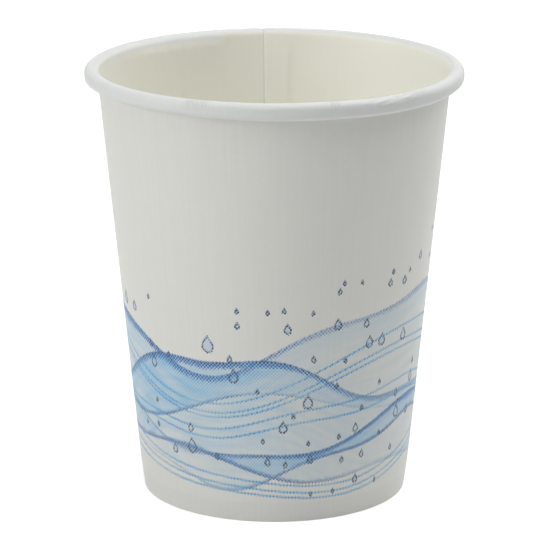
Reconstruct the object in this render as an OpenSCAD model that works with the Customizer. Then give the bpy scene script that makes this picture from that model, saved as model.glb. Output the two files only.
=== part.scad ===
// Single-wall paper cold cup: a rolled sidewall blank and a drawn bottom, sealed in a folded foot.
// Millimetres, +Z up, origin on the axis at table level. The side seam faces +Y.

/* [Cup] */
// Diameter over the rolled rim
rim_d = 80; // [72:0.5:90]
// Overall height, from the table to the top of the rim
cup_h = 92; // [70:0.5:120]
// Diameter of the foot, where the printed side of the wall reaches the table
foot_d = 56.5; // [50:0.5:64]

/* [Paperboard] */
// Thickness of the sidewall board
wall_t = 0.3; // [0.25:0.05:0.5]
// Thickness of the bottom board
bottom_t = 0.3; // [0.2:0.05:0.5]
// Thickness of the sealing film between the boards in the foot
film_t = 0.02; // [0.01:0.01:0.05]

/* [Rolled rim] */
// Width of the roll across the top, from the inside of the cup outwards
roll_w = 3; // [2.6:0.1:3.8]
// Height of the roll
roll_h = 3.6; // [3.3:0.1:4.8]
// Slit between the wall and the end of the board that turns up inside the roll
roll_slit = 0.15; // [0.05:0.05:0.3]
// Length of the board's end that stands up inside the roll
tuck_h = 0.8; // [0.3:0.1:1.2]

/* [Foot] */
// Height of the hem that folds up inside the foot
hem_h = 5; // [3:0.25:6]
// Height of the underside of the bottom above the table
recess_h = 6.5; // [5.5:0.25:12]
// Outside radius of the bend round the edge of the bottom
bend_r = 0.9; // [0.6:0.1:1.5]

/* [Side seam] */
// Width of the overlap at the rim
lap_w = 5; // [3:0.5:10]
// Height of the step at each cut edge of the pressed overlap
lap_step = 0.2; // [0.05:0.05:0.2]
// Width over which the board ramps from one side of the overlap to the other
ramp_w = 2.5; // [1.5:0.25:4]
// Direction of the cut edge that shows inside, anticlockwise from +X
seam_deg = 93.5; // [0:0.5:359.5]

/* [Hidden] */
$fn = 96;

rim_r = rim_d / 2;
foot_r = foot_d / 2;
roll_r = roll_w / 2;
// Depth from the printed side of the wall to each layer of the foot
skirt_out = wall_t + film_t;
skirt_in = skirt_out + bottom_t;
hem_out = skirt_in + film_t;

// The wall leans out so that its inside runs tangentially into the top of the roll.
roll_c = [rim_r - roll_r, cup_h - roll_r];
lean = atan2(roll_c[0] - foot_r, roll_c[1])
    - asin((roll_r - wall_t) / norm([roll_c[0] - foot_r, roll_c[1]]));
along = [sin(lean), cos(lean)];

// The underside of the roll turns in from the upright outer face to just short of the wall.
under_r = ((rim_r - foot_r) * cos(lean) - (cup_h - roll_h) * sin(lean) - roll_slit)
    / (1 + cos(lean) + sin(lean));
under_c = [rim_r - under_r, cup_h - roll_h + under_r];

// The overlap is as wide as an arc on the inside of the rim.
lap_deg = lap_w / (rim_r - roll_w) * 180 / PI;
ramp_deg = ramp_w / (rim_r - roll_w) * 180 / PI;
outer_edge_deg = seam_deg - lap_deg;

corner_steps = 6;
roll_steps = 15;
overcut = 1;

// Radius at height z of the surface that lies this deep behind the printed side
function wall_x(z, depth) = foot_r + z * tan(lean) - depth / cos(lean);

// Pairs of points, inner side and printed side, on a bend from one angle to another
function bend(centre, inner_r, printed_r, from, to, steps) = [
    for (k = [0:steps])
        let (a = from + (to - from) * k / steps, out = [cos(a), sin(a)])
            [centre + inner_r * out, centre + printed_r * out]
];

// The pair of points a distance further along the wall's line
function shifted(pair, distance) = [for (p = pair) p + distance * along];

// A closed outline through the pairs of a board's section
module board(pairs) {
    last = len(pairs) - 1;
    polygon(concat(
        [for (pair = pairs) pair[0]],
        [for (k = [0:last]) pairs[last - k][1]]
    ));
}

// A band that follows the wall between two heights and two depths
module band(z0, z1, depth0, depth1) {
    polygon([
        [wall_x(z0, depth1), z0],
        [wall_x(z0, depth0), z0],
        [wall_x(z1, depth0), z1],
        [wall_x(z1, depth1), z1]
    ]);
}

// A sector round the cup, from one direction anticlockwise to another
module sector(from, to) {
    rotate([0, 0, from]) rotate_extrude(angle = to - from) children();
}

// A half-space whose face holds the wall's line at this direction and depth, turned about it
module beside_wall(direction, depth, turn, outside) {
    size = 2 * cup_h;
    rotate([0, 0, direction])
        translate([wall_x(0, depth), 0, 0])
            rotate([0, lean, 0])
                rotate([0, 0, turn])
                    translate([outside ? 0 : -size, -size / 2, -size / 2])
                        cube(size);
}

// How far a face turns from the wall's line to climb one step over the ramp
function ramp_turn(curving) = atan(lap_step / ramp_w + curving * ramp_w / rim_d);

// The board's section, from the top of the hem round the foot and the wall into the roll
module sidewall_section() {
    outer_corner = [wall_x(wall_t, wall_t), wall_t];
    inner_corner = [wall_x(wall_t, hem_out), wall_t];
    outer_fold = bend(outer_corner, 0, wall_t, -90, -lean, corner_steps);
    inner_fold = bend(inner_corner, 0, wall_t, -180 - lean, -90, corner_steps);
    top = bend(roll_c, roll_r, roll_r - wall_t, 180 - lean, 0, roll_steps);
    underside = bend(under_c, under_r, under_r - wall_t, 0, -180 - lean, roll_steps);
    board(concat(
        [shifted(inner_fold[0], (hem_h - wall_t) / cos(lean))],
        inner_fold,
        outer_fold,
        top,
        underside,
        [shifted(underside[roll_steps], tuck_h)]
    ));
}

// The inner ply of the seam: a cut edge on one side, a ramp back into the wall on the other
module inner_ply() {
    ramp_end = outer_edge_deg - ramp_deg;
    difference() {
        sector(ramp_end, seam_deg)
            band(recess_h + bottom_t, roll_c[1], wall_t / 2, wall_t + lap_step);
        beside_wall(ramp_end, wall_t, ramp_turn(1), false);
    }
}

// What the outside lacks beside the outer ply's cut edge, where the wall ramps out again
module outer_notch() {
    ramp_end = outer_edge_deg - ramp_deg;
    intersection() {
        sector(ramp_end, outer_edge_deg)
            band(-overcut, cup_h - roll_h, -overcut, lap_step);
        beside_wall(outer_edge_deg, lap_step, ramp_turn(-1), true);
    }
}

// Sidewall blank: wall, rolled rim, side seam and the hem folded up inside the foot
module sidewall() {
    color("white") {
        difference() {
            rotate_extrude() sidewall_section();
            outer_notch();
        }
        inner_ply();
    }
}

// Bottom: a disc drawn down into a skirt that stands in the folded foot
module bottom() {
    top_z = recess_h + bottom_t;
    bend_z = top_z - bend_r;
    edge = bend([wall_x(bend_z, skirt_out + bend_r), bend_z],
        bend_r, bend_r - bottom_t, 90, -lean, corner_steps);
    foot_z = wall_t + film_t;
    color("ivory")
        rotate_extrude()
            board(concat(
                [[[0, top_z], [0, recess_h]]],
                edge,
                [[[wall_x(foot_z, skirt_out), foot_z], [wall_x(foot_z, skirt_in), foot_z]]]
            ));
}

sidewall();
bottom();
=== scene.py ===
"""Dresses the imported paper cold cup: rolled sidewall blank, drawn bottom, studio and camera.

Everything is in metres and in the cup's own frame: +Z up along the axis, the origin on the table
under the middle of the foot, -Y towards the camera, and the side seam at the back, near +Y.
"""

import logging
import math
from dataclasses import dataclass, field
from enum import Enum
from typing import Optional, Union

import bmesh
import bpy
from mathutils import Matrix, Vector


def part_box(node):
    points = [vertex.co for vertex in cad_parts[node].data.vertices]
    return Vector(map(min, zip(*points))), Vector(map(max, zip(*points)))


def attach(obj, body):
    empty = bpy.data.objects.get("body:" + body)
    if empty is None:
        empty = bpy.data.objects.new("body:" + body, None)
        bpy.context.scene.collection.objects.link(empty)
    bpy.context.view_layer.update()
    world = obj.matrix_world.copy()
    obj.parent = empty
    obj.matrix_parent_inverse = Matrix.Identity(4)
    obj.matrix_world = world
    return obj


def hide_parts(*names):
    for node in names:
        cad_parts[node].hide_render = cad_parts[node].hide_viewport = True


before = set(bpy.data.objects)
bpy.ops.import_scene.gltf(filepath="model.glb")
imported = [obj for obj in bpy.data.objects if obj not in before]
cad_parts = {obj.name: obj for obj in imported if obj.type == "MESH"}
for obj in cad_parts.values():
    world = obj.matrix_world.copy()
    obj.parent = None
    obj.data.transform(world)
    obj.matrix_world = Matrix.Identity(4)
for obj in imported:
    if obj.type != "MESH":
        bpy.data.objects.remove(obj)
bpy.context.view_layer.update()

LOG = logging.getLogger("paper_cup")
MM = 0.001
# The radius of a fold's inner face, and how close two points must be to count as one.
SMALLEST = 0.0005 * MM
BLANK_MAP = "UVMap"
# Directions about the axis, counted from +X towards +Y.
SEAM_ANGLE = math.radians(93.5)
FRONT_ANGLE = math.radians(-90)
# Edges that turn more than this stay sharp in shading.
SHARP_ANGLE = math.radians(50)

Colour = tuple[float, float, float, float]
Point = tuple[float, float]
Places = tuple[float, float, float, float]
Socket = bpy.types.NodeSocket
Operand = Union["Value", float]


class Seed(float, Enum):
    """Where each noise is read in its fourth direction, so that no two noises are alike."""

    BOARD_STREAKS = 1.0
    BOARD_MOTTLE = 2.0
    BOARD_FIBRES = 3.0
    WALL_WAVE = 4.0
    RIM_WAVE = 7.0
    PUCKER = 11.0
    DISC_DENT = 15.0
    PLEAT_WANDER = 17.0
    RUFFLE = 23.0
    CREASE = 31.0
    CREASE_PATCHES = 41.0
    CRIMP_WANDER = 51.0
    WARM_STREAKS = 53.0
    WIDE_EDGE = 54.0
    BAND_FLOW = 61.0
    BAND_OUTLINE = 71.0
    BAND_GRAIN = 81.0
    LINE_STRENGTH = 91.0


def from_screen(red: int, green: int, blue: int) -> Colour:
    """The scene's linear colour for a colour as a screen shows it.

    Args:
        red: Red, 0 to 255.
        green: Green, 0 to 255.
        blue: Blue, 0 to 255.

    Returns:
        Linear red, green and blue with an alpha of 1.
    """

    def linear(level: int) -> float:
        """One channel, from the screen's curve to light."""
        share = level / 255
        return share / 12.92 if share <= 0.04045 else ((share + 0.055) / 1.055) ** 2.4

    return linear(red), linear(green), linear(blue), 1.0


class Value:
    """A number that a node tree works out, with the usual arithmetic."""

    def __init__(self, graph: "Graph", socket: Socket) -> None:
        """Wraps an output socket of the graph."""
        self.graph = graph
        self.socket = socket

    def __add__(self, other: Operand) -> "Value":
        """The sum."""
        return self.graph.math("ADD", self, other)

    __radd__ = __add__

    def __sub__(self, other: Operand) -> "Value":
        """The difference."""
        return self.graph.math("SUBTRACT", self, other)

    def __rsub__(self, other: Operand) -> "Value":
        """The difference from a plain number."""
        return self.graph.math("SUBTRACT", other, self)

    def __mul__(self, other: Operand) -> "Value":
        """The product."""
        return self.graph.math("MULTIPLY", self, other)

    __rmul__ = __mul__

    def __truediv__(self, other: Operand) -> "Value":
        """The quotient."""
        return self.graph.math("DIVIDE", self, other)


class Graph:
    """Writes a node tree as formulas."""

    def __init__(self, tree: bpy.types.NodeTree) -> None:
        """Starts on a tree that is empty or only has its group ends."""
        self.tree = tree

    def node(self, kind: str, inputs: Optional[dict] = None, **settings: object) -> bpy.types.Node:
        """Adds a node.

        Args:
            kind: The node's type.
            inputs: What goes into its sockets, by name or number: a value, a socket or a number.
            **settings: The node's own settings.

        Returns:
            The new node.
        """
        node = self.tree.nodes.new(kind)
        for name, setting in settings.items():
            setattr(node, name, setting)
        for key, source in (inputs or {}).items():
            self.feed(node.inputs[key], source)
        return node

    def feed(self, socket: Socket, source: object) -> None:
        """Links a value or socket into a socket, or sets the socket to a plain number or colour.

        Args:
            socket: The socket that is fed.
            source: A value, an output socket, or what the socket is set to.
        """
        if isinstance(source, Value):
            self.tree.links.new(source.socket, socket)
        elif isinstance(source, bpy.types.NodeSocket):
            self.tree.links.new(source, socket)
        else:
            socket.default_value = source

    def value(self, node: bpy.types.Node, output: Union[str, int] = 0) -> Value:
        """An output of a node, as a value."""
        return Value(self, node.outputs[output])

    def math(self, operation: str, *operands: Operand) -> Value:
        """A Math node's result."""
        return self.value(self.node("ShaderNodeMath", dict(enumerate(operands)), operation=operation))

    def smooth(self, value: Operand, low: Operand, high: Operand) -> Value:
        """0 below low and 1 above high, with a smooth step between them."""
        inputs = {"Value": value, "From Min": low, "From Max": high}
        return self.value(self.node("ShaderNodeMapRange", inputs, interpolation_type="SMOOTHSTEP"))

    def window(self, value: Operand, places: Places) -> Value:
        """0 before the first place, 1 from the second to the third, and 0 after the fourth."""
        begin, full, fade, end = places
        return self.smooth(value, begin, full) * (1.0 - self.smooth(value, fade, end))

    def near(self, offset: Operand, full: Operand, end: Operand) -> Value:
        """1 where the offset to either side is less than full, and 0 where it is more than end."""
        return 1.0 - self.smooth(self.math("ABSOLUTE", offset), full, end)

    def sine(self, angle: Operand) -> Value:
        """The sine of an angle in radians."""
        return self.math("SINE", angle)

    def vector(self, x: Operand, y: Operand, z: Operand = 0.0) -> Value:
        """A vector from its parts."""
        return self.value(self.node("ShaderNodeCombineXYZ", {"X": x, "Y": y, "Z": z}))

    def parts(self, vector: object) -> tuple[Value, Value, Value]:
        """The three parts of a vector."""
        node = self.node("ShaderNodeSeparateXYZ", {"Vector": vector})
        return self.value(node, "X"), self.value(node, "Y"), self.value(node, "Z")

    def mix(self, factor: Operand, first: object, second: object) -> Value:
        """Two colours mixed by a factor."""
        node = self.node("ShaderNodeMix", {0: factor, 6: first, 7: second}, data_type="RGBA")
        return self.value(node, 2)

    def shade(self, colour: object, factor: Operand) -> Value:
        """A colour made lighter or darker by a factor."""
        inputs = {0: 1.0, 6: colour, 7: factor}
        return self.value(self.node("ShaderNodeMix", inputs, data_type="RGBA", blend_type="MULTIPLY"), 2)

    def noise(self, vector: object, scale: float, detail: float = 2.0, seed: float = 0.0) -> Value:
        """Smooth noise from 0 to 1 in the place that the vector gives."""
        inputs = {"Vector": vector, "W": seed, "Scale": scale, "Detail": detail}
        return self.value(self.node("ShaderNodeTexNoise", inputs, noise_dimensions="4D"), "Fac")


def new_group(name: str, kind: str, inputs: dict[str, str], outputs: dict[str, str]) -> tuple[Graph, dict]:
    """Makes a node group with named sockets.

    Args:
        name: The group's name.
        kind: The tree's type, ShaderNodeTree or GeometryNodeTree.
        inputs: Socket type by name, for what goes in.
        outputs: Socket type by name, for what comes out.

    Returns:
        The graph, and its incoming sockets by name.
    """
    tree = bpy.data.node_groups.new(name, kind)
    for label, socket_type in inputs.items():
        tree.interface.new_socket(label, in_out="INPUT", socket_type=socket_type)
    for label, socket_type in outputs.items():
        tree.interface.new_socket(label, in_out="OUTPUT", socket_type=socket_type)
    graph = Graph(tree)
    entry = graph.node("NodeGroupInput")
    return graph, {label: Value(graph, entry.outputs[label]) for label in inputs}


@dataclass(frozen=True)
class Station:
    """One place along the board's section, with a point on each of its two faces.

    Attributes:
        printed: Radius and height on the printed face.
        coated: Radius and height on the face that holds the drink.
        rolled: 0 on the wall and 1 in the rolled rim.
    """

    printed: Point
    coated: Point
    rolled: float = 0.0


@dataclass(frozen=True)
class CupSizes:
    """The cup's sizes in metres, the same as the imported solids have.

    Attributes:
        rim_d: Diameter over the rolled rim.
        cup_h: Height from the table to the top of the rim.
        foot_d: Diameter of the foot at the table.
        wall_t: Thickness of the sidewall's board.
        bottom_t: Thickness of the bottom's board.
        film_t: Gap where the bottom's skirt is sealed into the folded foot.
        roll_w: Width of the rolled rim.
        roll_h: Height of the rolled rim.
        roll_slit: Gap between the roll's end and the wall.
        tuck_h: How far the roll's end goes up behind its outer leg.
        hem_h: Height of the hem inside the foot.
        recess_h: Height of the bottom's underside over the table.
        bend_r: Outer radius of the bottom's bend into its skirt.
        lap_w: Width of the side seam's overlap.
        ramp_w: Width over which the board steps up onto the lap.
    """

    rim_d: float
    cup_h: float
    foot_d: float = 56.5 * MM
    wall_t: float = 0.3 * MM
    bottom_t: float = 0.3 * MM
    film_t: float = 0.02 * MM
    roll_w: float = 3.0 * MM
    roll_h: float = 3.6 * MM
    roll_slit: float = 0.15 * MM
    tuck_h: float = 0.8 * MM
    hem_h: float = 5.0 * MM
    recess_h: float = 6.5 * MM
    bend_r: float = 0.9 * MM
    lap_w: float = 5.0 * MM
    ramp_w: float = 1.5 * MM

    @property
    def foot_r(self) -> float:
        """Radius of the foot at the table."""
        return self.foot_d / 2

    @property
    def inner_rim_r(self) -> float:
        """Radius of the mouth inside the roll."""
        return self.rim_d / 2 - self.roll_w

    @property
    def roll_centre(self) -> Point:
        """Centre of the roll's upper half."""
        return self.rim_d / 2 - self.roll_w / 2, self.cup_h - self.roll_w / 2

    @property
    def lean(self) -> float:
        """How far the wall leans out, so that it runs tangentially into the roll."""
        run, rise = self.roll_centre[0] - self.foot_r, self.roll_centre[1]
        return math.atan2(run, rise) - math.asin((self.roll_w / 2 - self.wall_t) / math.hypot(run, rise))

    def wall_x(self, height: float, depth: float) -> float:
        """Radius, at a height, of the surface that lies a depth behind the printed face."""
        return self.foot_r + height * math.tan(self.lean) - depth / math.cos(self.lean)

    def along_wall(self, point: Point, distance: float) -> Point:
        """A point moved a distance up the wall's line."""
        return point[0] + distance * math.sin(self.lean), point[1] + distance * math.cos(self.lean)


def bend(centre: Point, radii: Point, turn: Point, steps: int, rolled: Point = (0.0, 0.0)) -> list[Station]:
    """Stations round a bend of the board.

    Args:
        centre: Radius and height of the bend's centre.
        radii: The bend's radius at the printed face and at the coated face.
        turn: First and last angle, in radians.
        steps: How many steps the bend has.
        rolled: How far the board counts as rolled at the start and at the end.

    Returns:
        The stations in order.
    """
    stations = []
    for step in range(steps + 1):
        share = step / steps
        angle = turn[0] + (turn[1] - turn[0]) * share
        out = Vector((math.cos(angle), math.sin(angle)))
        printed, coated = (tuple(Vector(centre) + radius * out) for radius in radii)
        stations.append(Station(printed, coated, rolled[0] + (rolled[1] - rolled[0]) * share))
    return stations


def stretch(start: Station, end: Station, steps: int) -> list[Station]:
    """Stations of a straight stretch of the board.

    Args:
        start: The first station.
        end: The station that the stretch ends just before.
        steps: How many steps the stretch has.

    Returns:
        The stations in order, without the end.
    """
    stations = []
    for step in range(steps):
        share = step / steps
        printed = tuple(Vector(start.printed).lerp(Vector(end.printed), share))
        coated = tuple(Vector(start.coated).lerp(Vector(end.coated), share))
        stations.append(Station(printed, coated, start.rolled + (end.rolled - start.rolled) * share))
    return stations


@dataclass(frozen=True)
class SectionSteps:
    """How finely each stretch of the sidewall's section is divided, in order from the hem's top.

    Attributes:
        hem: Steps down the hem inside the foot.
        fold: Steps round each of the foot's two folds.
        wall: Steps up the wall to the neck.
        neck: Steps up the neck, the wall's last stretch under the roll.
        roll: Steps round each half of the roll.
        leg: Steps down the roll's straight outer leg.
    """

    hem: int = 5
    fold: int = 5
    wall: int = 16
    neck: int = 10
    roll: int = 20
    leg: int = 3

    @property
    def foot(self) -> int:
        """Number of the station where the printed face leaves the table."""
        return self.hem + self.fold + 1

    @property
    def roll_start(self) -> int:
        """Number of the station where the wall runs into the roll."""
        return self.foot + self.fold + self.wall + self.neck

    @property
    def roll_bottom(self) -> int:
        """Number of the roll's lowest station."""
        return self.roll_start + self.roll + self.leg + self.roll // 2


class BoardSection:
    """The closed outline of a board's section, as a mesh loop with what Geometry Nodes need.

    The names in capitals are those that the loop's points carry their values under: the place in the
    section, the direction to the coated face, the climb along the board, 1 on the coated face, and 1 in
    the rolled rim.
    """

    SECTION = "section"
    COAT_WAY = "coat_way"
    CLIMB = "climb"
    COATED = "coated"
    ROLLED = "rolled"

    def __init__(self, name: str, stations: list[Station], zero: int) -> None:
        """Lays out the loop.

        Args:
            name: Name of the mesh.
            stations: The section's stations in order.
            zero: Number of the station from which the climb along the board is measured.
        """
        self.stations = stations
        self.climb = self._climb(zero)
        self.mesh = self._loop(name)

    def _climb(self, zero: int) -> list[float]:
        """Measures the climb along the printed face.

        Args:
            zero: Number of the station that counts as zero.

        Returns:
            The distance from the zero station to each station, in metres.
        """
        distances = [0.0]
        for before, after in zip(self.stations, self.stations[1:]):
            distances.append(distances[-1] + math.dist(before.printed, after.printed))
        return [distance - distances[zero] for distance in distances]

    def _loop(self, name: str) -> bpy.types.Mesh:
        """Makes a closed loop of edges up the coated face and back down the printed face.

        Args:
            name: Name of the mesh.

        Returns:
            The mesh, with the named values on its points.
        """
        rows = list(zip(self.stations, self.climb))
        walk = [(s.coated, s, climb, 1.0) for s, climb in rows]
        walk += [(s.printed, s, climb, 0.0) for s, climb in reversed(rows)]
        mesh = bpy.data.meshes.new(name)
        edges = [(k, (k + 1) % len(walk)) for k in range(len(walk))]
        mesh.from_pydata([(point[0], 0.0, point[1]) for point, _, _, _ in walk], edges, [])
        columns = {
            self.SECTION: ("FLOAT_VECTOR", [(point[0], 0.0, point[1]) for point, _, _, _ in walk]),
            self.COAT_WAY: ("FLOAT_VECTOR", [self._coat_way(station) for _, station, _, _ in walk]),
            self.CLIMB: ("FLOAT", [climb for _, _, climb, _ in walk]),
            self.COATED: ("FLOAT", [coated for _, _, _, coated in walk]),
            self.ROLLED: ("FLOAT", [station.rolled for _, station, _, _ in walk]),
        }
        for label, (kind, values) in columns.items():
            data = mesh.attributes.new(label, kind, "POINT").data
            for item, value in zip(data, values):
                if kind == "FLOAT":
                    item.value = value
                else:
                    item.vector = value
        return mesh

    @staticmethod
    def _coat_way(station: Station) -> tuple[float, float, float]:
        """Unit direction from the printed face to the coated face."""
        way = (Vector(station.coated) - Vector(station.printed)).normalized()
        return way.x, 0.0, way.y


class GeometryTree:
    """A Geometry Nodes tree with named inputs, put on a mesh and then made plain."""

    AROUND = "around"

    def __init__(self, name: str, numbers: dict[str, float]) -> None:
        """Opens the tree with one input for the section and one for each named number.

        Args:
            name: Name of the tree.
            numbers: What each named input is set to.
        """
        mesh_socket = {"Geometry": "NodeSocketGeometry"}
        kinds = mesh_socket | {label: "NodeSocketFloat" for label in numbers}
        self.graph, self.inputs = new_group(name, "GeometryNodeTree", kinds, mesh_socket)
        self.graph.tree.is_modifier = True
        self.numbers = numbers

    def attribute(self, label: str, kind: str = "FLOAT") -> Value:
        """The value that each point carries under a name."""
        node = self.graph.node("GeometryNodeInputNamedAttribute", {"Name": label}, data_type=kind)
        return self.graph.value(node)

    def store(self, geometry: object, label: str, value: Value, kind: str, domain: str) -> Value:
        """Writes a named value on the geometry.

        Args:
            geometry: The geometry that carries it.
            label: The name.
            value: The value.
            kind: Its data type.
            domain: What carries it: points, edges or corners.

        Returns:
            The geometry with the value.
        """
        inputs = {"Geometry": geometry, "Name": label, "Value": value}
        node = self.graph.node("GeometryNodeStoreNamedAttribute", inputs, data_type=kind, domain=domain)
        return self.graph.value(node)

    def sweep(self, share: Value, capped: bool) -> Value:
        """Sweeps the section along a line whose columns each carry their share of the way round.

        Args:
            share: The share at each column, 0 to 1.
            capped: Whether the first and last columns are closed.

        Returns:
            The board, still straight.
        """
        graph = self.graph
        path = graph.value(graph.node("GeometryNodeCurvePrimitiveLine", {"End": (0.0, 0.0, 1.0)}))
        path = graph.node("GeometryNodeResampleCurve", {"Curve": path, "Count": self.inputs["Columns"]})
        path = self.store(graph.value(path), self.AROUND, share, "FLOAT", "POINT")
        profile = graph.value(graph.node("GeometryNodeMeshToCurve", {"Mesh": self.inputs["Geometry"]}))
        ends = {"Curve": path, "Profile Curve": profile, "Fill Caps": capped}
        return graph.value(graph.node("GeometryNodeCurveToMesh", ends))

    def turned(self, board: Value, radius: Value, angle: Value, height: Value) -> Value:
        """Puts each point of the board at its place about the cup's axis.

        Args:
            board: The straight board.
            radius: Distance from the axis.
            angle: Direction from the axis, in radians.
            height: Height over the table.

        Returns:
            The board in its place.
        """
        graph = self.graph
        place = graph.vector(radius * graph.math("COSINE", angle), radius * graph.sine(angle), height)
        return graph.value(graph.node("GeometryNodeSetPosition", {"Geometry": board, "Position": place}))

    def smoothed(self, board: Value, sharp_angle: float) -> Value:
        """Shades the board smoothly, except over sharp edges.

        Args:
            board: The board.
            sharp_angle: Turn above which an edge stays sharp, in radians.

        Returns:
            The board with its shading.
        """
        graph = self.graph
        turn = graph.value(graph.node("GeometryNodeInputMeshEdgeAngle"), "Unsigned Angle")
        sharp = graph.node("FunctionNodeCompare", {0: turn, 1: sharp_angle}, operation="GREATER_THAN")
        board = self.store(board, "sharp_edge", graph.value(sharp), "BOOLEAN", "EDGE")
        return graph.value(graph.node("GeometryNodeSetShadeSmooth", {"Geometry": board}))

    def finish(self, geometry: object, finishes: list[tuple[Optional[Value], bpy.types.Material]]) -> None:
        """Ends the tree in Realize Instances and one Set Material for each finish.

        Args:
            geometry: The finished shape.
            finishes: Which faces each material is for, or None for all, and the material.
        """
        geometry = self.graph.value(self.graph.node("GeometryNodeRealizeInstances", {"Geometry": geometry}))
        for selection, material in finishes:
            inputs = {"Geometry": geometry, "Material": material}
            if selection is not None:
                inputs["Selection"] = selection
            geometry = self.graph.value(self.graph.node("GeometryNodeSetMaterial", inputs))
        self.graph.node("NodeGroupOutput", {"Geometry": geometry})

    def run(self, name: str, start: bpy.types.Mesh) -> bpy.types.Object:
        """Puts the tree on a mesh and returns the result as a plain object.

        Args:
            name: Name of the finished piece.
            start: The mesh that goes into the tree.

        Returns:
            The piece, with no modifier, at the origin.
        """
        carrier = bpy.data.objects.new(name + "_start", start)
        bpy.context.scene.collection.objects.link(carrier)
        modifier = carrier.modifiers.new("shape", "NODES")
        modifier.node_group = self.graph.tree
        for item in self.graph.tree.interface.items_tree:
            if item.in_out == "INPUT" and item.name in self.numbers:
                modifier[item.identifier] = self.numbers[item.name]
        evaluated = carrier.evaluated_get(bpy.context.evaluated_depsgraph_get())
        mesh = bpy.data.meshes.new_from_object(evaluated)
        mesh.name = name
        piece = bpy.data.objects.new(name, mesh)
        bpy.context.scene.collection.objects.link(piece)
        bpy.data.objects.remove(carrier)
        return piece


def close_and_turn_out(piece: bpy.types.Object) -> None:
    """Merges doubled points of a closed board, drops bare edges and turns its faces outwards.

    Args:
        piece: The board's object.
    """
    work = bmesh.new()
    work.from_mesh(piece.data)
    bmesh.ops.remove_doubles(work, verts=work.verts, dist=SMALLEST)
    bare = [edge for edge in work.edges if not edge.link_faces]
    bmesh.ops.delete(work, geom=bare, context="EDGES")
    bmesh.ops.recalc_face_normals(work, faces=work.faces)
    if work.calc_volume(signed=True) < 0:
        bmesh.ops.reverse_faces(work, faces=work.faces)
    work.to_mesh(piece.data)
    work.free()


class Ink(Enum):
    """The print's inks, as the paper shows them at full strength."""

    WATER = from_screen(90, 180, 226)
    LINE = from_screen(60, 162, 212)
    DEEP = from_screen(8, 108, 178)
    NAVY = from_screen(12, 50, 96)


@dataclass(frozen=True)
class Wave:
    """A wavy line round the cup, a long swell with a shorter ripple on it.

    Attributes:
        height: The line's mean height up the wall, in metres.
        swell: Height of the swell, in metres.
        swell_length: Length of the swell, in metres.
        swell_start: Where in its turn the swell is at the front, in radians.
        ripple: Height of the ripple, in metres.
        ripple_length: Length of the ripple, in metres.
        ripple_start: Where in its turn the ripple is at the front, in radians.
    """

    height: float
    swell: float
    swell_length: float
    swell_start: float
    ripple: float
    ripple_length: float
    ripple_start: float

    def line(self, graph: Graph, across: Value) -> Value:
        """Works out the line.

        Args:
            graph: The graph to write it in.
            across: Place across the blank, in metres from the front.

        Returns:
            The line's height there, in metres.
        """
        swell_turn = across * (2 * math.pi / self.swell_length)
        ripple_turn = across * (2 * math.pi / self.ripple_length)
        swell = graph.sine(swell_turn + self.swell_start) * self.swell
        ripple = graph.sine(ripple_turn + self.ripple_start) * self.ripple
        return swell + ripple + self.height


@dataclass(frozen=True)
class Band:
    """A band of water between two wavy lines, deepest along its upper line.

    Attributes:
        upper: The band's upper line.
        lower: The band's lower line.
        strength: How much ink the palest part has, 0 to 1.
        upper_edge: Width of the deep tone along the upper line, in metres.
        lower_edge: Width of the deep tone along the lower line, in metres.
        deep_place: Where round the cup the band is deepest, in metres from the front.
    """

    upper: Wave
    lower: Wave
    strength: float
    upper_edge: float
    lower_edge: float
    deep_place: float


class ShaderGroups:
    """The effects that several of the cup's finishes share, each built once."""

    def __init__(self) -> None:
        """Builds the groups."""
        self.board_grain = self._board_grain()
        self.screen = self._screen()

    @staticmethod
    def _board_grain() -> bpy.types.NodeTree:
        """Paperboard's fine mottle, fibres and mill streaks, from a place in metres."""
        streak_scale, mottle_scale, fibre_scale = 1400.0, 260.0, 3000.0
        streak_squash, fibre_squash = 0.03, 0.45
        graph, ends = new_group(
            "Board grain",
            "ShaderNodeTree",
            {"Place": "NodeSocketVector"},
            {"Tone": "NodeSocketFloat", "Height": "NodeSocketFloat"},
        )
        x, y, z = graph.parts(ends["Place"])
        long_place = graph.vector(x, y * streak_squash, z * streak_squash)
        fibre_place = graph.vector(x, y * fibre_squash, z * fibre_squash)
        streaks = graph.noise(long_place, streak_scale, 2.0, Seed.BOARD_STREAKS)
        mottle = graph.noise(ends["Place"], mottle_scale, 3.0, Seed.BOARD_MOTTLE)
        fibres = graph.noise(fibre_place, fibre_scale, 2.0, Seed.BOARD_FIBRES)
        tone = streaks * 0.45 + mottle * 0.2 + fibres * 0.35
        height = streaks * 0.35 + mottle * 0.35 + fibres * 0.3
        graph.node("NodeGroupOutput", {"Tone": tone, "Height": height})
        return graph.tree

    @staticmethod
    def _screen() -> bpy.types.NodeTree:
        """The printing screen: fine rows of dots at 45 degrees, from a place in metres."""
        graph, ends = new_group(
            "Printing screen",
            "ShaderNodeTree",
            {"Place": "NodeSocketVector", "Pitch": "NodeSocketFloat"},
            {"Dots": "NodeSocketFloat"},
        )
        x, y, _ = graph.parts(ends["Place"])
        turn = 2 * math.pi * math.sqrt(0.5)
        rising = graph.sine((x + y) * turn / ends["Pitch"])
        falling = graph.sine((x - y) * turn / ends["Pitch"])
        graph.node("NodeGroupOutput", {"Dots": (rising + falling) * 0.5})
        return graph.tree


def new_material(name: str) -> tuple[bpy.types.Material, Graph]:
    """Makes an empty material.

    Args:
        name: Name of the material.

    Returns:
        The material and the graph to write it with.
    """
    material = bpy.data.materials.new(name)
    material.use_nodes = True
    material.node_tree.nodes.clear()
    return material, Graph(material.node_tree)


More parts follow.
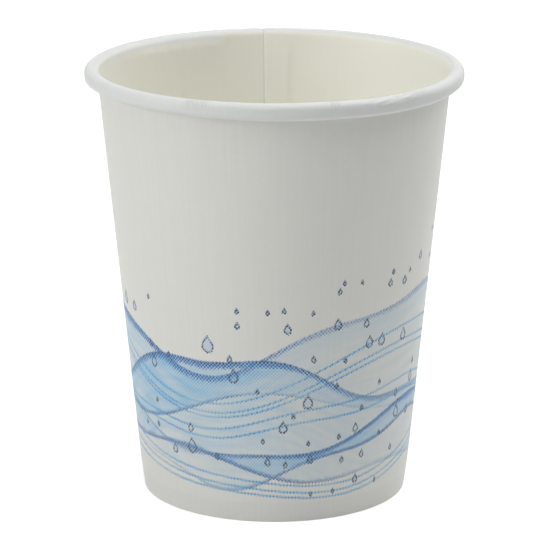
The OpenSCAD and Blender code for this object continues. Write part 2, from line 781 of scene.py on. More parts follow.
@dataclass(frozen=True)
class BoardFinish:
    """White paperboard under a thin smooth film.

    Attributes:
        name: Name of the material.
        colour: The board's colour.
        roughness: How matt the film is.
        tone_range: How much the board's colour varies.
        relief: Height of the grain, in metres.
        roughness_range: How much the roughness varies.
    """

    name: str
    colour: Colour
    roughness: float = 0.5
    tone_range: float = 0.035
    relief: float = 0.006 * MM
    roughness_range: float = 0.25

    def build(self, groups: ShaderGroups) -> bpy.types.Material:
        """Writes the material.

        Args:
            groups: The shared shader groups.

        Returns:
            The material.
        """
        material, graph = new_material(self.name)
        place = self.place(graph)
        grain = graph.node("ShaderNodeGroup", {}, node_tree=groups.board_grain)
        graph.feed(grain.inputs["Place"], place)
        tone = graph.value(grain, "Tone")
        shade = (tone - 0.5) * self.tone_range + 1.0
        base = self.paint(graph, place, groups)
        bump = graph.node("ShaderNodeBump", {"Height": self.height(graph, place, grain), "Distance": 1.0})
        shader = graph.node(
            "ShaderNodeBsdfPrincipled",
            {
                "Base Color": graph.shade(base, shade),
                "Roughness": (tone - 0.5) * self.roughness_range + self.roughness,
                "Normal": bump.outputs["Normal"],
            },
        )
        graph.node("ShaderNodeOutputMaterial", {"Surface": shader.outputs["BSDF"]})
        return material

    def place(self, graph: Graph) -> Value:
        """Where the pattern is read: the object's own coordinates."""
        return graph.value(graph.node("ShaderNodeTexCoord"), "Object")

    def paint(self, graph: Graph, place: Value, groups: ShaderGroups) -> object:
        """The colour before the grain."""
        return self.colour

    def height(self, graph: Graph, place: Value, grain: bpy.types.Node) -> Value:
        """The relief, in metres."""
        return graph.value(grain, "Height") * self.relief


@dataclass(frozen=True)
class BlankFinish(BoardFinish):
    """A face of the sidewall blank, with its pattern laid out flat on the blank."""

    def place(self, graph: Graph) -> Value:
        """Across and up the blank, in metres."""
        return graph.value(graph.node("ShaderNodeUVMap", uv_map=BLANK_MAP))


@dataclass(frozen=True)
class CoatedFinish(BlankFinish):
    """The face that holds the drink, finely crimped where it turns out over the roll, with painted light:
    the top light's cooler tone on the roll and on a wide stretch at the back, and a painted shadow beside
    the seam's cut edge.

    Sizes are in metres, places across the blank count from the front, and a climb is up the board.

    Attributes:
        warm_colour: The board's colour in its warmer streaks.
        warm_share: How much of that colour the streaks take.
        roll_lit_colour: Painted light on the roll: a cooler, dimmer copy of the board's colour for how the
            top light falls there.
        roll_start: Climb at which the roll's painted light begins.
        roll_blend: Climb over which the wall's colour passes into the roll's painted light.
        wide_lit_colour: Painted top light on the board where the roll was pressed wider at the back and the
            face turns up.
        wide_places: Where the wide stretch begins, is full, fades and ends, across the blank.
        wide_reach: How far the wide stretch reaches down the wall.
        seam_place: Where the cut edge of the seam is.
        seam_shadow_width: Width of the painted shadow in the crevice beside the cut edge.
        seam_shadow_strength: How dark that painted shadow is.
        crimp_spots: Middle and half width of each patch of fine ribs on the roll.
        crimp_climb: Where the ribs begin, are full, fade and end, up from roll_start.
        crimp_pitch: Distance between the ribs.
        crimp_wander: How far the ribs stray from straight, in radians of their turn.
        crimp: Height of the ribs.
    """

    warm_colour: Colour = from_screen(252, 249, 236)
    warm_share: float = 0.45
    roll_lit_colour: Colour = from_screen(229, 231, 229)
    roll_start: float = 91.5 * MM
    roll_blend: float = 0.9 * MM
    wide_lit_colour: Colour = from_screen(246, 248, 247)
    wide_places: Places = (-93.8 * MM, -91.6 * MM, -68 * MM, -48 * MM)
    wide_reach: float = 0.8 * MM
    seam_place: float = 0.0
    seam_shadow_width: float = 0.24 * MM
    seam_shadow_strength: float = 0.14
    crimp_spots: tuple[Point, ...] = ((-13.4 * MM, 2.8 * MM), (10.3 * MM, 1.4 * MM), (28 * MM, 3 * MM))
    crimp_climb: Places = (1.2 * MM, 1.8 * MM, 3.0 * MM, 3.8 * MM)
    crimp_pitch: float = 0.55 * MM
    crimp_wander: float = 7.0
    crimp: float = 0.09 * MM

    def paint(self, graph: Graph, place: Value, groups: ShaderGroups) -> object:
        """Colours the wall, paints the top light's cooler tone on the roll and on the wide stretch at the
        back, and paints the shadow where the outer ply dips under the cut edge.

        Args:
            graph: The material's graph.
            place: Place across and up the blank, in metres.
            groups: The shared shader groups; not used here.

        Returns:
            The colour before the grain.
        """
        streak_scale, streak_squash = 55.0, 0.12
        ragged_scale = 330.0
        across, up, _ = graph.parts(place)
        over_wall = up - self.roll_start
        streaks = graph.noise(
            graph.vector(across, up * streak_squash), streak_scale, 3.0, Seed.WARM_STREAKS
        )
        warm = graph.smooth(streaks, 0.4, 0.66) * self.warm_share
        base = graph.mix(warm, self.colour, self.warm_colour)
        # Painted light: where the roll was pressed wider at the back the face turns up, and the top light's
        # cooler tone is painted there.
        ragged = graph.noise(graph.vector(across, 0.0), ragged_scale, 2.0, Seed.WIDE_EDGE) + 0.4
        reach = ragged * self.wide_reach
        reached = graph.smooth(over_wall, reach * -1.6, reach * -0.2)
        wide = graph.window(across, self.wide_places)
        base = graph.mix(wide * reached, base, self.wide_lit_colour)
        # Painted light: the roll takes a cooler, dimmer copy of the board's colour for how the top light
        # falls on it.
        base = graph.mix(graph.smooth(over_wall, 0.0, self.roll_blend), base, self.roll_lit_colour)
        # Painted shadow in the crevice where the outer ply dips under the cut edge.
        past_seam = across - self.seam_place
        shadow = 1.0 - graph.smooth(past_seam, self.seam_shadow_width * 0.4, self.seam_shadow_width)
        return graph.shade(base, 1.0 - shadow * self.seam_shadow_strength)

    def height(self, graph: Graph, place: Value, grain: bpy.types.Node) -> Value:
        """Adds patches of fine ribs across the roll to the grain.

        Args:
            graph: The material's graph.
            place: Place across and up the blank, in metres.
            grain: The grain's group node.

        Returns:
            The relief, in metres.
        """
        wander_scale, wander_squash = 700.0, 0.3
        across, up, _ = graph.parts(place)
        patches: Operand = 0.0
        for middle, half in self.crimp_spots:
            patches = graph.math("MAXIMUM", graph.near(across - middle, half * 0.5, half), patches)
        stray = graph.noise(
            graph.vector(across, up * wander_squash), wander_scale, 1.0, Seed.CRIMP_WANDER
        )
        turn = across * (2 * math.pi / self.crimp_pitch) + stray * self.crimp_wander
        ribs = graph.smooth(graph.sine(turn), 0.0, 1.0)
        on_roll = graph.window(up - self.roll_start, self.crimp_climb)
        return super().height(graph, place, grain) + ribs * patches * on_roll * self.crimp


@dataclass(frozen=True)
class Drops:
    """Scattered drops above the water and below it, at most one to a cell.

    Attributes:
        cell: Average distance between the cells, in metres.
        scatter: How unevenly the cells lie, 0 to 1.
        small: Radius of the smallest drops, in metres.
        growth: How much larger the largest drops' radius is, in metres.
        room: How much of its cell's free radius a drop may take.
        tip: How high over its middle a drop is narrowest, in radii.
        narrowing: How much narrower it is there.
        slimness: How much of its rise counts towards its outline, so that it stands taller than wide.
        soft: Width of the soft edge, in metres.
        outline: How far in the dark edge ends and begins to fade, in metres.
        lowest: Where up the wall the drops begin and reach their full number, in metres.
        highest: Where over the water they get fewer and where they end, in metres.
        spray: Where over the water more drops begin and reach their full number, in metres.
        spray_share: How much likelier a drop is there.
        clumps: How much the drops gather in some places round the cup.
        clump_start: Where in its turn that gathering is at the front, in radians.
        rarity: What a cell's chance has to pass for a drop to show.
    """

    cell: float = 5.8 * MM
    scatter: float = 0.8
    small: float = 0.5 * MM
    growth: float = 1.2 * MM
    room: float = 0.62
    tip: float = 2.2
    narrowing: float = 0.85
    slimness: float = 0.55
    soft: float = 0.1 * MM
    outline: Point = (0.52 * MM, 0.36 * MM)
    lowest: Point = (5 * MM, 5.5 * MM)
    highest: Point = (8 * MM, 20 * MM)
    spray: Point = (-2 * MM, 3 * MM)
    spray_share: float = 0.12
    clumps: float = 0.24
    clump_start: float = 0.9
    rarity: float = 1.56

    def masks(
        self, graph: Graph, across: Value, up: Value, surface: Wave, turn: float
    ) -> tuple[Value, Value]:
        """Works out where the drops are.

        Args:
            graph: The graph to write them in.
            across: Place across the blank, in metres from the front.
            up: Place up the wall, in metres.
            surface: The water's highest line.
            turn: Length of the pattern once round the cup, in metres.

        Returns:
            1 inside the drops, and 1 on their dark edges.
        """
        home_x, home_y, chance, radius = self._cells(graph, across, up)
        rise = up - home_y
        taper = 1.0 - graph.smooth(rise, 0.0, radius * self.tip) * self.narrowing
        width = (across - home_x) / taper
        height = graph.math("MAXIMUM", rise * self.slimness, rise * -1.0)
        span = graph.math("SQRT", width * width + height * height)
        above = home_y - surface.line(graph, home_x)
        region = graph.smooth(home_y, *self.lowest) * (1.0 - graph.smooth(above, *self.highest))
        spray = graph.smooth(above, *self.spray) * self.spray_share
        clumps = graph.sine(home_x * (4 * math.pi / turn) + self.clump_start) * self.clumps
        shown = graph.smooth(chance + clumps + spray + region - self.rarity, 0.0, 0.01)
        inner, outer = self.outline
        inside = (1.0 - graph.smooth(span, radius - self.soft, radius)) * shown
        core = (1.0 - graph.smooth(span, radius - inner, radius - outer)) * shown
        return inside, inside - core

    def _cells(self, graph: Graph, across: Value, up: Value) -> tuple[Value, Value, Value, Value]:
        """Works out the cell that each place belongs to.

        Args:
            graph: The graph to write it in.
            across: Place across the blank, in metres from the front.
            up: Place up the wall, in metres.

        Returns:
            The cell's middle across and up, its chance of a drop, and the drop's radius.
        """
        kind = "ShaderNodeTexVoronoi"
        inputs = {
            "Vector": graph.vector(across, up),
            "Scale": 1.0 / self.cell,
            "Randomness": self.scatter,
        }
        cells = graph.node(kind, inputs, voronoi_dimensions="2D")
        spheres = graph.node(kind, inputs, voronoi_dimensions="2D", feature="N_SPHERE_RADIUS")
        home_x, home_y, _ = graph.parts(cells.outputs["Position"])
        chance, size, _ = graph.parts(cells.outputs["Color"])
        room = graph.value(spheres, "Radius") * (self.cell * self.room)
        radius = graph.math("MINIMUM", size * size * self.growth + self.small, room)
        return home_x, home_y, chance, radius


@dataclass(frozen=True)
class PrintedFinish(BlankFinish):
    """The printed face: wave bands, contour lines and drops in blue on the white board.

    Attributes:
        bands: The water's bands, from the back one to the front one.
        lines: Sets of contour lines, each a wave and its lines' heights over it in millimetres.
        turn: Length of the pattern once round the cup, in metres.
        screen_pitch: Distance between the printing screen's dots, in metres.
        screen_tone: How much the dots change the strength of the deep edges and outlines.
        field_tone: How much they change the strength of the pale fields and contour lines.
        screen_jag: How far the dots roughen the print's edges, in metres.
        edge_soft: Half of the soft edge round a band, in metres.
        fade_reach: How far down a band its upper tone fades, in widths of its upper edge.
        outline: How far in a band's outline lies, its half width where full and where it ends, in metres.
        line_width: Width of a contour line, in metres.
        line_spread: How much the sets of lines open and close round the cup.
        drops: The scattered drops.
        drop_cover: How much ink the drops have inside.
        hem_top: How far up the wall the board is doubled by the hem, in metres.
        hem_soft: Half of the soft edge there, in metres.
        hem_shade: How much painted shade darkens the doubled board, which lets less light through from
            inside.
        knurl: Height of the ribs pressed into the hem, in metres.
        knurl_pitch: Distance between those ribs, in metres.
        knurl_climb: Where the ribs are full and where they end, in metres up from the table.
    """

    bands: tuple[Band, ...] = (
        Band(
            Wave(41 * MM, 7.0 * MM, 103 * MM, -0.5, 1.6 * MM, 41.2 * MM, 0.6),
            Wave(24 * MM, 4.0 * MM, 103 * MM, 1.4, 1.5 * MM, 51.5 * MM, 2.2),
            0.11, 1.9 * MM, 0.9 * MM, -44 * MM,
        ),
        Band(
            Wave(31 * MM, 6.0 * MM, 103 * MM, 2.3, 1.3 * MM, 34.3 * MM, 1.0),
            Wave(13 * MM, 4.0 * MM, 206 * MM, 3.6, 1.6 * MM, 51.5 * MM, 4.0),
            0.1, 1.7 * MM, 1.2 * MM, -22 * MM,
        ),
        Band(
            Wave(19 * MM, 4.5 * MM, 103 * MM, 5.2, 1.0 * MM, 41.2 * MM, 2.6),
            Wave(13.5 * MM, 5.5 * MM, 103 * MM, 5.6, 1.2 * MM, 34.3 * MM, 0.2),
            0.1, 1.2 * MM, 1.0 * MM, 26 * MM,
        ),
    )
    lines: tuple[tuple[Wave, tuple[float, ...]], ...] = (
        (Wave(30 * MM, 6.0 * MM, 103 * MM, -0.7, 0.8 * MM, 68.7 * MM, 0.3), (0.0, 1.4, 4.4)),
        (Wave(8 * MM, 2.6 * MM, 103 * MM, 4.4, 0.7 * MM, 51.5 * MM, 2.0), (0.0, 1.8, 4.2)),
        (Wave(22 * MM, 3.0 * MM, 103 * MM, -0.3, 0.6 * MM, 34.3 * MM, 1.0), (0.0, 2.6)),
    )
    turn: float = 206 * MM
    screen_pitch: float = 0.57 * MM
    screen_tone: float = 1.1
    field_tone: float = 0.5
    screen_jag: float = 0.26 * MM
    edge_soft: float = 0.12 * MM
    fade_reach: float = 3.4
    outline: tuple[float, float, float] = (0.12 * MM, 0.1 * MM, 0.3 * MM)
    line_width: float = 0.4 * MM
    line_spread: float = 0.35
    drops: Drops = Drops()
    drop_cover: float = 0.3
    hem_top: float = 4.4 * MM
    hem_soft: float = 0.3 * MM
    hem_shade: float = 0.03
    knurl: float = 0.05 * MM
    knurl_pitch: float = 1.3 * MM
    knurl_climb: Point = (-1.2 * MM, -0.8 * MM)

    def paint(self, graph: Graph, place: Value, groups: ShaderGroups) -> object:
        """Prints the inks over each other on the white board, and paints shade over the doubled board of
        the hem.

        Args:
            graph: The material's graph.
            place: Place across and up the blank, in metres.
            groups: The shared shader groups.

        Returns:
            The colour before the grain.
        """
        faint_scale, faint_squash = 90.0, 0.5
        screen = graph.node("ShaderNodeGroup", {}, node_tree=groups.screen)
        graph.feed(screen.inputs["Place"], place)
        graph.feed(screen.inputs["Pitch"], self.screen_pitch)
        dots = graph.value(screen, "Dots")
        dotted = graph.smooth(dots, -0.2, 0.35) - 0.5
        on_edges = dotted * self.screen_tone + 1.0
        on_fields = dotted * self.field_tone + 1.0
        across, climb, _ = graph.parts(place)
        up = climb + dots * self.screen_jag
        cover, depth, outline = self._water(graph, across, up)
        drops, drop_edge = self.drops.masks(graph, across, up, self.bands[0].upper, self.turn)
        faint_place = graph.vector(across, up * faint_squash)
        faint = graph.noise(faint_place, faint_scale, 1.0, Seed.LINE_STRENGTH) * 1.3 + 0.1
        layers = (
            (graph.math("MAXIMUM", cover, drops * self.drop_cover) * on_fields, Ink.WATER),
            (depth * on_edges, Ink.DEEP),
            (self._lines(graph, across, up) * on_fields * faint, Ink.LINE),
            (graph.math("MAXIMUM", drop_edge, outline) * on_edges, Ink.NAVY),
        )
        base: object = self.colour
        for strength, ink in layers:
            base = graph.mix(graph.math("MINIMUM", strength, 1.0), base, ink.value)
        # Painted shade: the hem doubles the board, which lets less light through from inside, so the board
        # is painted darker there.
        doubled = 1.0 - graph.smooth(climb, self.hem_top - self.hem_soft, self.hem_top + self.hem_soft)
        return graph.shade(base, 1.0 - doubled * self.hem_shade)

    def height(self, graph: Graph, place: Value, grain: bpy.types.Node) -> Value:
        """Adds the ribs that were pressed into the hem inside the foot to the grain.

        Args:
            graph: The material's graph.
            place: Place across and up the blank, in metres.
            grain: The grain's group node.

        Returns:
            The relief, in metres.
        """
        across, up, _ = graph.parts(place)
        on_hem = 1.0 - graph.smooth(up, *self.knurl_climb)
        ribs = graph.sine(across * (2 * math.pi / self.knurl_pitch)) * on_hem
        return super().height(graph, place, grain) + ribs * self.knurl

    def _water(self, graph: Graph, across: Value, up: Value) -> tuple[Value, Value, Value]:
        """Lays the bands of water over each other.

        Args:
            graph: The material's graph.
            across: Place across the blank, in metres from the front.
            up: Place up the wall, in metres.

        Returns:
            The water's cover, its deeper tone and its dark outlines.
        """
        cover: Operand = 0.0
        depth: Operand = 0.0
        outline: Operand = 0.0
        for number, band in enumerate(self.bands):
            fill, edge, contour = self._band(graph, across, up, band, float(number))
            cover = fill + cover
            depth = graph.math("MAXIMUM", edge, depth)
            outline = graph.math("MAXIMUM", contour, outline)
        return cover, depth, outline

    def _band(
        self, graph: Graph, across: Value, up: Value, band: Band, number: float
    ) -> tuple[Value, Value, Value]:
        """Works out one band of water.

        Args:
            graph: The material's graph.
            across: Place across the blank, in metres from the front.
            up: Place up the wall, in metres.
            band: The band.
            number: The band's number, which sets its noises apart.

        Returns:
            The band's cover, the deeper tone along its edges and its broken dark outline.
        """
        flow_scale, flow_squash = 620.0, 0.14
        grain_scale, broken_scale = 1500.0, 130.0
        below = band.upper.line(graph, across) - up
        above = up - band.lower.line(graph, across)
        crisp = self.edge_soft
        inside = graph.smooth(below, -crisp, crisp) * graph.smooth(above, -crisp, crisp)
        turned = (across - band.deep_place) * (2 * math.pi / self.turn)
        deepest = graph.math("POWER", graph.math("COSINE", turned) * 0.5 + 0.5, 3.0)
        flow_place = graph.vector(across * flow_squash, below)
        flow = graph.noise(flow_place, flow_scale, 3.0, number + Seed.BAND_FLOW)
        here = graph.vector(across, up)
        grain = graph.noise(here, grain_scale, 2.0, number + Seed.BAND_GRAIN)
        ragged = flow + grain * 0.7 + deepest * 0.3
        fade = 1.0 - graph.smooth(below, 0.0, band.upper_edge * self.fade_reach)
        upper = 1.0 - graph.smooth(below / band.upper_edge, ragged * 0.35, ragged)
        lower = 1.0 - graph.smooth(above / band.lower_edge, ragged * 0.35, ragged)
        cover = (fade * 0.12 + deepest * flow * 0.36 + (flow - 0.5) * 0.4 + band.strength) * inside
        edge = graph.math("MAXIMUM", upper * (deepest * 0.75 + 0.35), lower * (deepest * 0.7 + 0.1))
        edge = edge * inside * (graph.smooth(grain, 0.35, 0.6) * 0.5 + 0.7)
        breaks = graph.noise(here, broken_scale, 2.0, number + Seed.BAND_OUTLINE)
        broken = graph.smooth(breaks, 0.42, 0.6)
        inset, full, end = self.outline
        stroke = graph.near(below - inset, full, end)
        floor = graph.near(above - inset, full, end)
        outline = graph.math("MAXIMUM", stroke, floor * 0.6) * inside * broken * (deepest * 0.6 + 0.3)
        return graph.math("MAXIMUM", cover, 0.0), edge, outline

    def _lines(self, graph: Graph, across: Value, up: Value) -> Value:
        """Draws thin contour lines that run round the cup in sets.

        Args:
            graph: The material's graph.
            across: Place across the blank, in metres from the front.
            up: Place up the wall, in metres.

        Returns:
            1 on the lines.
        """
        mask: Operand = 0.0
        for wave, offsets in self.lines:
            line = wave.line(graph, across)
            turned = across * (2 * math.pi / self.turn) + wave.swell_start
            spread = graph.sine(turned) * self.line_spread + 1.0
            for offset in offsets:
                gap = up - line - spread * (offset * MM)
                stroke = graph.near(gap, self.line_width * 0.3, self.line_width * 0.7)
                mask = graph.math("MAXIMUM", stroke, mask)
        return mask


@dataclass(frozen=True)
class Sidewall:
    """The rolled sidewall blank: folded hem, wall, side seam and rolled rim.

    Sizes are in metres. Places are directions round the cup in degrees, -90 towards the camera.

    Attributes:
        sizes: The cup's sizes.
        groups: The shared shader groups.
        steps: How finely the section is divided.
        columns: Number of columns round the blank, both ends of the lap included.
        neck_h: Height of the neck, the wall's last stretch under the roll.
        ply_step: How far the inner ply stands in from the outer one.
        rolled_step: How far the outer ply stands proud of the inner one over the roll.
        edge_bevel: How much thinner the board is at the seam's inner cut edge.
        bevel_w: Width over which it thins there.
        foot_press: How far the foot is pressed in at the table.
        wall_wave: How far the wall strays from its circle.
        rim_wave: How far the roll strays from its circle.
        short_rise: How much shorter the roll is where it was rolled less.
        short_places: Where that stretch begins, is full, fades and ends.
        rim_sink: How far the roll is sunk where it was pressed.
        sunk_places: Where that stretch begins, is full, fades and ends.
        pucker: Depth of the pucker under the roll.
        pucker_above: How far over the roll's start the pucker begins.
        pucker_drop: How far under the roll's start it is full.
        pucker_fade: How much further down it has faded.
        pucker_places: Where it begins, is full, fades and ends.
        crease: Depth of the rolling's creases.
        crush_place: Middle of the stretch with most creases.
        crush_spread: Half of that stretch's width.
        lip_groove: Depth of the groove along the roll's lower edge.
        lip_drop: How far the groove lies before the roll's bottom, along the board.
        lip_half: Half of the groove's width.    """

    sizes: CupSizes
    groups: ShaderGroups
    steps: SectionSteps = field(default_factory=SectionSteps)
    columns: int = 480
    neck_h: float = 4.5 * MM
    ply_step: float = 0.3 * MM
    rolled_step: float = 0.16 * MM
    edge_bevel: float = 0.12 * MM
    bevel_w: float = 0.45 * MM
    foot_press: float = 0.2 * MM
    wall_wave: float = 0.1 * MM
    rim_wave: float = 0.09 * MM
    short_rise: float = 0.5 * MM
    short_places: tuple[float, float, float, float] = (-195.0, -150.0, -132.0, -88.0)
    rim_sink: float = 0.2 * MM
    sunk_places: tuple[float, float, float, float] = (-80.0, -52.0, -38.0, -10.0)
    pucker: float = 0.36 * MM
    pucker_above: float = 0.8 * MM
    pucker_drop: float = 1.9 * MM
    pucker_fade: float = 20 * MM
    pucker_places: tuple[float, float, float, float] = (-253.0, -251.5, -222.0, -200.0)
    crease: float = 0.17 * MM
    crush_place: float = -54.0
    crush_spread: float = 12.0
    lip_groove: float = 0.09 * MM
    lip_drop: float = 0.75 * MM
    lip_half: float = 0.45 * MM

    def stations(self) -> list[Station]:
        """The section from the top of the hem, round the foot, up the wall and into the roll."""
        cup, steps = self.sizes, self.steps
        quarter, half = math.pi / 2, math.pi
        skirt_in = cup.wall_t + cup.film_t + cup.bottom_t
        outer_corner = (cup.wall_x(cup.wall_t, cup.wall_t), cup.wall_t)
        inner_corner = (cup.wall_x(cup.wall_t, skirt_in + cup.film_t), cup.wall_t)
        tight = (cup.wall_t, SMALLEST)
        outer_fold = bend(outer_corner, tight, (-quarter, -cup.lean), steps.fold)
        inner_fold = bend(inner_corner, tight, (-half - cup.lean, -quarter), steps.fold)
        roll_r = cup.roll_w / 2
        all_rolled = (1.0, 1.0)
        top_radii = (roll_r - cup.wall_t, roll_r)
        top = bend(cup.roll_centre, top_radii, (half - cup.lean, 0.0), steps.roll, all_rolled)
        under_r = (
            (cup.rim_d / 2 - cup.foot_r) * math.cos(cup.lean)
            - (cup.cup_h - cup.roll_h) * math.sin(cup.lean)
            - cup.roll_slit
        ) / (1 + math.cos(cup.lean) + math.sin(cup.lean))
        under_c = (cup.rim_d / 2 - under_r, cup.cup_h - cup.roll_h + under_r)
        under_radii = (under_r - cup.wall_t, under_r)
        under = bend(under_c, under_radii, (0.0, -half - cup.lean), steps.roll, all_rolled)
        hem = stretch(self._shift(inner_fold[0], cup.hem_h / math.cos(cup.lean)), inner_fold[0], steps.hem)
        neck = self._shift(Station(top[0].printed, top[0].coated), -self.neck_h)
        wall = stretch(outer_fold[-1], neck, steps.wall) + stretch(neck, top[0], steps.neck)
        leg = stretch(top[-1], under[0], steps.leg)
        tuck = self._shift(under[-1], cup.tuck_h)
        return hem + inner_fold + outer_fold + wall[1:] + top + leg[1:] + under + [tuck]

    def _shift(self, station: Station, distance: float) -> Station:
        """A station moved along the wall's line."""
        moved = (self.sizes.along_wall(point, distance) for point in (station.printed, station.coated))
        return Station(*moved, station.rolled)

    def build(self) -> bpy.types.Object:
        """Makes the piece.

        Returns:
            The finished sidewall.
        """
        section = BoardSection("sidewall_section", self.stations(), self.steps.foot)
        numbers = {
            "Columns": float(self.columns),
            "Seam angle": SEAM_ANGLE,
            "Lap angle": self.sizes.lap_w / self.sizes.inner_rim_r,
            "Ramp angle": self.sizes.ramp_w / self.sizes.inner_rim_r,
            "Ply step": self.ply_step,
            "Rolled step": self.rolled_step,
            "Edge bevel": self.edge_bevel,
            "Bevel angle": self.bevel_w / self.sizes.inner_rim_r,
            "Foot press": self.foot_press,
            "Hem height": self.sizes.hem_h,
            "Wall wave": self.wall_wave,
            "Rim wave": self.rim_wave,
            "Roll start": section.climb[self.steps.roll_start],
            "Roll bottom": section.climb[self.steps.roll_bottom],
            "Short rise": self.short_rise,
            "Rim sink": self.rim_sink,
            "Pucker": self.pucker,
            "Crease": self.crease,
            "Lip groove": self.lip_groove,
        }
        tree = GeometryTree("Roll the blank", numbers)
        self._shape(tree)
        piece = tree.run("sidewall_blank", section.mesh)
        close_and_turn_out(piece)
        return piece

    def _shape(self, tree: GeometryTree) -> None:
        """Writes the tree that rolls the section round the axis, with the seam's two plies."""
        graph, ends = tree.graph, tree.inputs
        board = tree.sweep(self._share_around(graph), True)
        sweep = ends["Lap angle"] + 2 * math.pi
        from_start = tree.attribute(tree.AROUND) * sweep
        to_end = sweep - from_start
        angle = ends["Seam angle"] - from_start
        ramp_end = ends["Lap angle"] + ends["Ramp angle"]
        rolled = tree.attribute(BoardSection.ROLLED)
        inner_ply = 1.0 - graph.smooth(from_start, ends["Lap angle"], ramp_end)
        outer_ply = 1.0 - graph.smooth(to_end, ends["Lap angle"], ramp_end)
        lift = inner_ply * (1.0 - rolled) * ends["Ply step"] - outer_ply * rolled * ends["Rolled step"]
        coated = tree.attribute(BoardSection.COATED)
        near_edge = 1.0 - graph.smooth(from_start, 0.0, ends["Bevel angle"])
        lift = lift - near_edge * coated * ends["Edge bevel"]
        radius, _, height = graph.parts(tree.attribute(BoardSection.SECTION, "FLOAT_VECTOR"))
        coat_x, _, coat_z = graph.parts(tree.attribute(BoardSection.COAT_WAY, "FLOAT_VECTOR"))
        ring = graph.vector(graph.math("COSINE", angle), graph.sine(angle), height * 12.0)
        lift = lift - self._creases(tree, angle, ring)
        swing = self._swing(tree, ring, height, rolled) - self._pucker(tree, angle, ring)
        radius = radius + coat_x * lift + swing
        height = height + coat_z * lift + self._rise(tree, angle, rolled)
        board = tree.turned(board, radius, angle, height)
        across = (angle - FRONT_ANGLE) * self.flat_r
        flat = graph.vector(across, tree.attribute(BoardSection.CLIMB))
        board = tree.store(board, "UVMap", flat, "FLOAT2", "CORNER")
        on_coat, off_print = (
            graph.value(graph.node("FunctionNodeCompare", {0: coated, 1: least}, operation="GREATER_THAN"))
            for least in (0.9, 0.1)
        )
        board = tree.smoothed(board, SHARP_ANGLE)
        tree.finish(board, [(None, self.printed), (off_print, self.cut), (on_coat, self.coated)])

    @staticmethod
    def _share_around(graph: Graph) -> Value:
        """Share of the way round at each column, with the columns closest together near the seam."""
        share = graph.value(graph.node("GeometryNodeSplineParameter"), "Factor")
        side = share * 2.0 - 1.0
        far = graph.math("POWER", side * side, 6.0)
        return side * ((1.0 - far) * 0.07 + 1.0) * 0.5 + 0.5

    @staticmethod
    def _swing(tree: GeometryTree, ring: Value, height: Value, rolled: Value) -> Value:
        """How far hand and machine have left the board off its true circle, inwards as negative."""
        graph, ends = tree.graph, tree.inputs
        wall = (graph.noise(ring, 1.6, 1.0, Seed.WALL_WAVE) - 0.5) * ends["Wall wave"] * 2.0
        rim = (graph.noise(ring, 5.0, 2.0, Seed.RIM_WAVE) - 0.75) * ends["Rim wave"] * 2.0
        pressed = (1.0 - graph.math("MINIMUM", height / ends["Hem height"], 1.0)) * ends["Foot press"]
        above_foot = graph.smooth(height, 0.0, ends["Hem height"] * 3.0)
        return wall * above_foot * (1.0 - rolled) + rim * rolled - pressed

    @staticmethod
    def _window(graph: Graph, angle: Value, places: tuple[float, float, float, float]) -> Value:
        """1 between the two middle places round the cup, in degrees, and 0 outside the outer two."""
        begin, full, fade, end = (math.radians(place) for place in places)
        return graph.smooth(angle, begin, full) * (1.0 - graph.smooth(angle, fade, end))

    def _rise(self, tree: GeometryTree, angle: Value, rolled: Value) -> Value:
        """How the roll's height varies: rolled shorter at the left, and sunk at the right of the front."""
        graph, ends = tree.graph, tree.inputs
        climb = tree.attribute(BoardSection.CLIMB)
        under = graph.smooth(climb, ends["Roll start"] + 3.0 * MM, ends["Roll bottom"])
        short = self._window(graph, angle, self.short_places) * under * ends["Short rise"]
        return short - self._window(graph, angle, self.sunk_places) * rolled * ends["Rim sink"]

    def _pucker(self, tree: GeometryTree, angle: Value, ring: Value) -> Value:
        """How far the wall under the roll is pushed inwards where the rolling went uneven."""
        graph, ends = tree.graph, tree.inputs
        span = self._window(graph, angle, self.pucker_places)
        below = ends["Roll start"] - tree.attribute(BoardSection.CLIMB)
        crown = graph.smooth(below, -self.pucker_above, self.pucker_drop)
        belly = crown * (1.0 - graph.smooth(below, self.pucker_drop, self.pucker_drop + self.pucker_fade))
        uneven = graph.noise(ring, 6.0, 2.0, Seed.PUCKER) * 0.9 + 0.55
        ruffle = graph.noise(ring, 14.0, 1.0, Seed.RUFFLE) * 0.15
        return (span * uneven + ruffle) * belly * ends["Pucker"]

    def _creases(self, tree: GeometryTree, angle: Value, ring: Value) -> Value:
        """Depth of the creases that the rolling left in the board's face."""
        graph, ends = tree.graph, tree.inputs
        climb = tree.attribute(BoardSection.CLIMB)
        along = angle * self.sizes.inner_rim_r
        field = graph.noise(graph.vector(along * 0.22, climb + along * 0.12), 900.0, 2.0, Seed.CREASE)
        folds = 1.0 - graph.smooth(graph.math("ABSOLUTE", field - 0.5), 0.0, 0.09)
        middle = math.radians(self.crush_place)
        spread = math.radians(self.crush_spread)
        crush = 1.0 - graph.smooth(graph.math("ABSOLUTE", angle - middle), spread * 0.5, spread)
        on_roll = graph.smooth(climb, ends["Roll start"] + 0.6 * MM, ends["Roll start"] + 1.6 * MM)
        bottom = ends["Roll bottom"]
        above_lip = 1.0 - graph.smooth(climb, bottom - 2.2 * MM, bottom - 0.8 * MM)
        patches = graph.smooth(graph.noise(ring, 3.5, 1.0, Seed.CREASE_PATCHES), 0.5, 0.72)
        folds = folds * on_roll * above_lip * (crush + patches * 0.25) * ends["Crease"]
        groove = 1.0 - graph.smooth(
            graph.math("ABSOLUTE", climb - ends["Roll bottom"] + self.lip_drop), 0.0, self.lip_half
        )
        lip = 1.0 - graph.smooth(graph.math("ABSOLUTE", angle - math.radians(-42)), 0.3, 0.6)
        return folds + groove * (lip * 0.85 + 0.15) * ends["Lip groove"]

    @property
    def flat_r(self) -> float:
        """Radius at which the blank's pattern has its true width."""
        return self.sizes.wall_x(self.sizes.cup_h / 2, 0.0)

